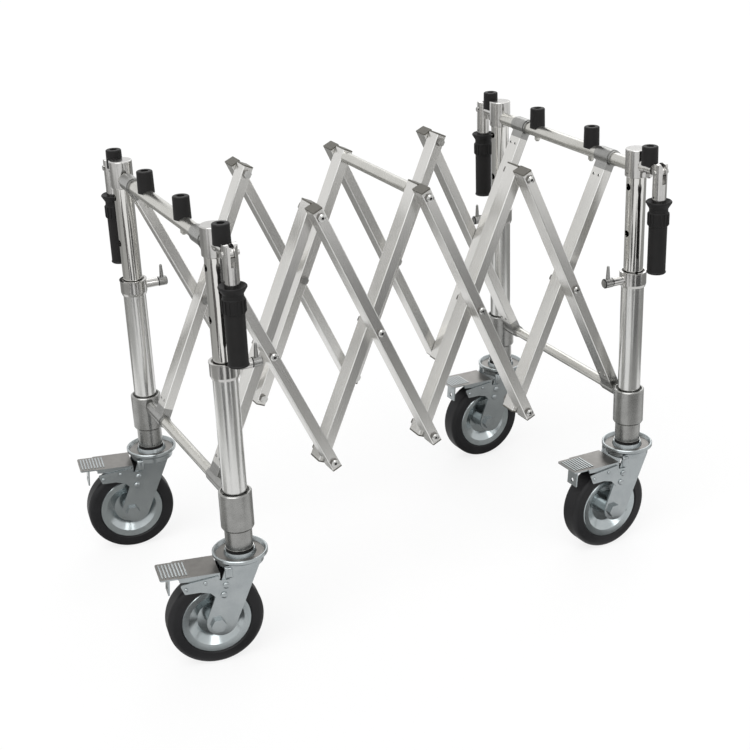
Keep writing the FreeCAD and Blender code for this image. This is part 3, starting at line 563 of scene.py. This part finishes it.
world = bpy.data.worlds.new("studio_world")
world.use_nodes = True
tree = world.node_tree
strength = addNode(tree, "ShaderNodeMapRange", {"To Min": stageLook["fill"], "To Max": stageLook["backdrop"]},
                   {"Value": seenDirectly(tree)})
tree.nodes["Background"].inputs["Color"].default_value = (1, 1, 1, 1)
tree.links.new(strength.outputs["Result"], tree.nodes["Background"].inputs["Strength"])
bpy.context.scene.world = world

# Flags lie on the floor. Only metal sees them: they are painted dark reflections, standing in for the darker parts of
# a studio.
flags = {
    "front_middle": {"colour": "2E2E2E", "middle": (-0.32, -1.65), "size": (0.56, 1.0)},
    "front_right": {"colour": "2E2E2E", "middle": (0.72, -1.65), "size": (1.15, 1.0)},
    "front_left": {"colour": "2E2E2E", "middle": (-1.15, -1.0), "size": (0.5, 0.6)},
    "front_left_far": {"colour": "3E3B39", "middle": (-1.95, -1.02), "size": (0.9, 0.74)},
    "front_near": {"colour": "8A8A88", "middle": (0.62, -0.93), "size": (1.4, 0.44)},
    "under": {"colour": "B0B0AE", "middle": (0.05, 0.02), "size": (2.1, 0.44)},
    "back": {"colour": "8C8C8A", "middle": (0.0, 1.95), "size": (6.0, 2.3)},
    "left": {"colour": "A2A2A0", "middle": (-2.1, 0.09), "size": (1.8, 1.42)},
    "right": {"colour": "8C8C8A", "middle": (2.1, -0.3), "size": (1.8, 2.2)},
}
# A small dark one lies beside each wheel: a painted reflection of shade on the upper half of its dished rim
wheelFlag = {"colour": "3C3C3C", "out": 0.085, "size": (0.17, 0.09)}
for corner in corners:
    axle = Vector(joints[corner + "_wheel_spin"]["axis"])
    beside = jointPlace(corner + "_wheel_spin") - axle * wheelFlag["out"]
    flags[corner + "_wheel"] = {"colour": wheelFlag["colour"], "middle": (beside.x, beside.y),
                                "size": wheelFlag["size"]}
for name, flag in flags.items():
    deselect()
    bpy.ops.mesh.primitive_plane_add(size=1)
    card = bpy.context.object
    card.name = "flag_" + name
    card.scale = (*flag["size"], 1)
    card.location = (*flag["middle"], stageLook["cardHeight"])
    cardLook = {"colour": flag["colour"], "metallic": 0.0, "roughness": stageLook["cardRoughness"]}
    card.data.materials.append(startMaterial("flag_paint_" + name, cardLook)[0])
    card.visible_camera = False
    card.visible_diffuse = False
    card.visible_shadow = False
    card.visible_transmission = False

lamps = {"key": {"aim": (0.45, 0.35, -0.8), "strength": 1.5, "softness": 50},
         "rim": {"aim": (-0.5, -0.6, -0.6), "strength": 0.5, "softness": 40},
         "front": {"aim": (-0.13, 0.86, -0.48), "strength": 0.28, "softness": 22}}
for name, lamp in lamps.items():
    light = bpy.data.lights.new(name, "SUN")
    light.energy = lamp["strength"]
    light.angle = math.radians(lamp["softness"])
    holder = bpy.data.objects.new(name, light)
    holder.rotation_euler = Vector(lamp["aim"]).to_track_quat("-Z", "Y").to_euler()
    bpy.context.scene.collection.objects.link(holder)

view = {"azimuth": -26.09, "elevation": 23.3, "roll": -2.285, "distance": 2.604, "aim": (0.02746, 0, 0.33645),
        "lens": 68.98, "sensor": 36.0}
azimuth, elevation = math.radians(view["azimuth"]), math.radians(view["elevation"])
back = Vector((math.sin(azimuth) * math.cos(elevation), -math.cos(azimuth) * math.cos(elevation),
               math.sin(elevation)))
camera = bpy.data.objects.new("camera", bpy.data.cameras.new("camera"))
camera.data.lens = view["lens"]
camera.data.sensor_width = view["sensor"]
camera.rotation_mode = "QUATERNION"
camera.location = Vector(view["aim"]) + back * view["distance"]
level = (-back).to_track_quat("-Z", "Y")
camera.rotation_quaternion = level @ Matrix.Rotation(math.radians(view["roll"]), 3, "Z").to_quaternion()
bpy.context.scene.collection.objects.link(camera)
bpy.context.scene.camera = camera
bpy.context.scene.view_settings.view_transform = "Standard"
print("stage set")
